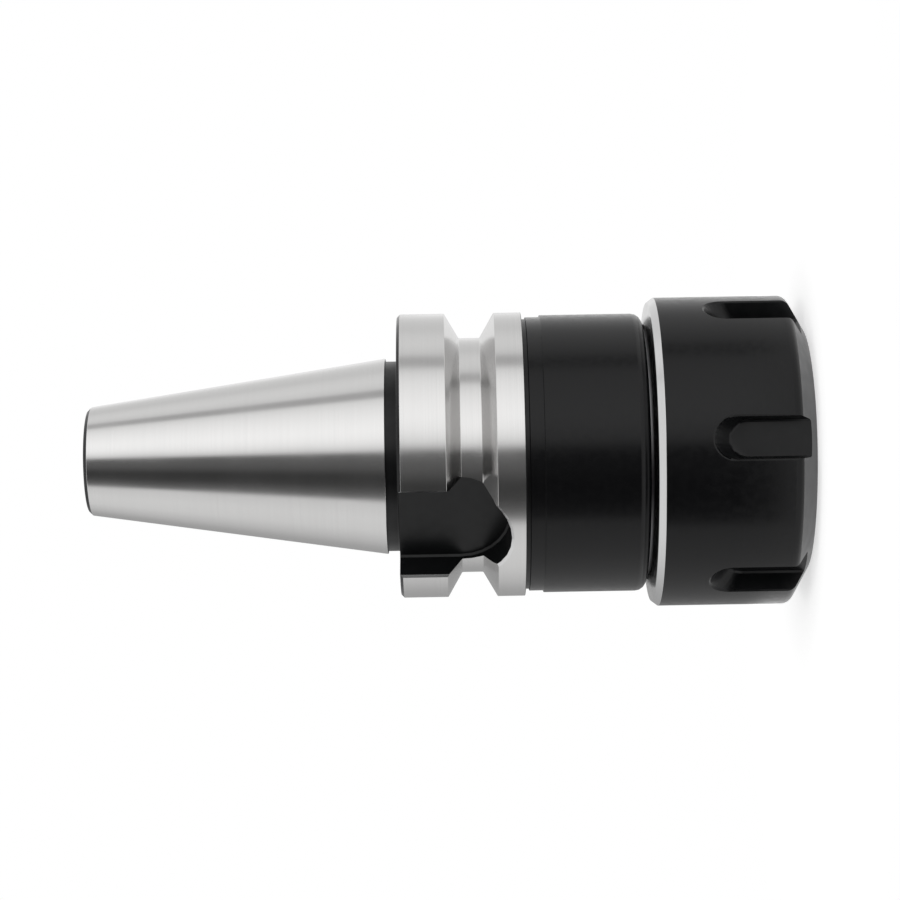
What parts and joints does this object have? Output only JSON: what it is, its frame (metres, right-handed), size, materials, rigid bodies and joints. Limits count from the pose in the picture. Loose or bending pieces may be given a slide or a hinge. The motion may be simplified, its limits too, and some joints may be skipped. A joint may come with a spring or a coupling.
{
  "type": "collet chuck holder",
  "caption": "Steep-taper tool holder with a gripper flange and drive slots, a black barrel, a spring collet and a slotted clamping nut that screws over its threaded nose.",
  "frame": {"origin": "centre of the nut's front face, on the surface the chuck stands on", "axes": "+Z along the turning axis, from the nut up to the taper's small end; +Y and -Y face the two drive slots"},
  "size_m": [0.05, 0.05, 0.1159],
  "materials": {
    "ground_steel": "ground on the taper, fine turned on the flange",
    "black_oxide": "black oxide over turned steel, satin",
    "collet_steel": "ground spring steel, satin"
  },
  "bodies": {
    "holder": {"holder_body": "ground_steel"},
    "collet": {"collet": "collet_steel"},
    "nut": {"clamping_nut": "black_oxide"}
  },
  "joints": [
    {"name": "collet_slide", "type": "slide", "parent": "holder", "child": "collet", "axis": [0, 0, -1], "range_m": [0, 0.012]},
    {"name": "nut_spin", "type": "hinge", "parent": "collet", "child": "nut", "pos_m": [0, 0, 0.0125], "axis": [0, 0, -1], "range_deg": [0, 2880]}
  ],
  "couplings": [
    {"joint": "collet_slide", "follows": "nut_spin", "m_per_rad": 0.0002387}
  ]
}
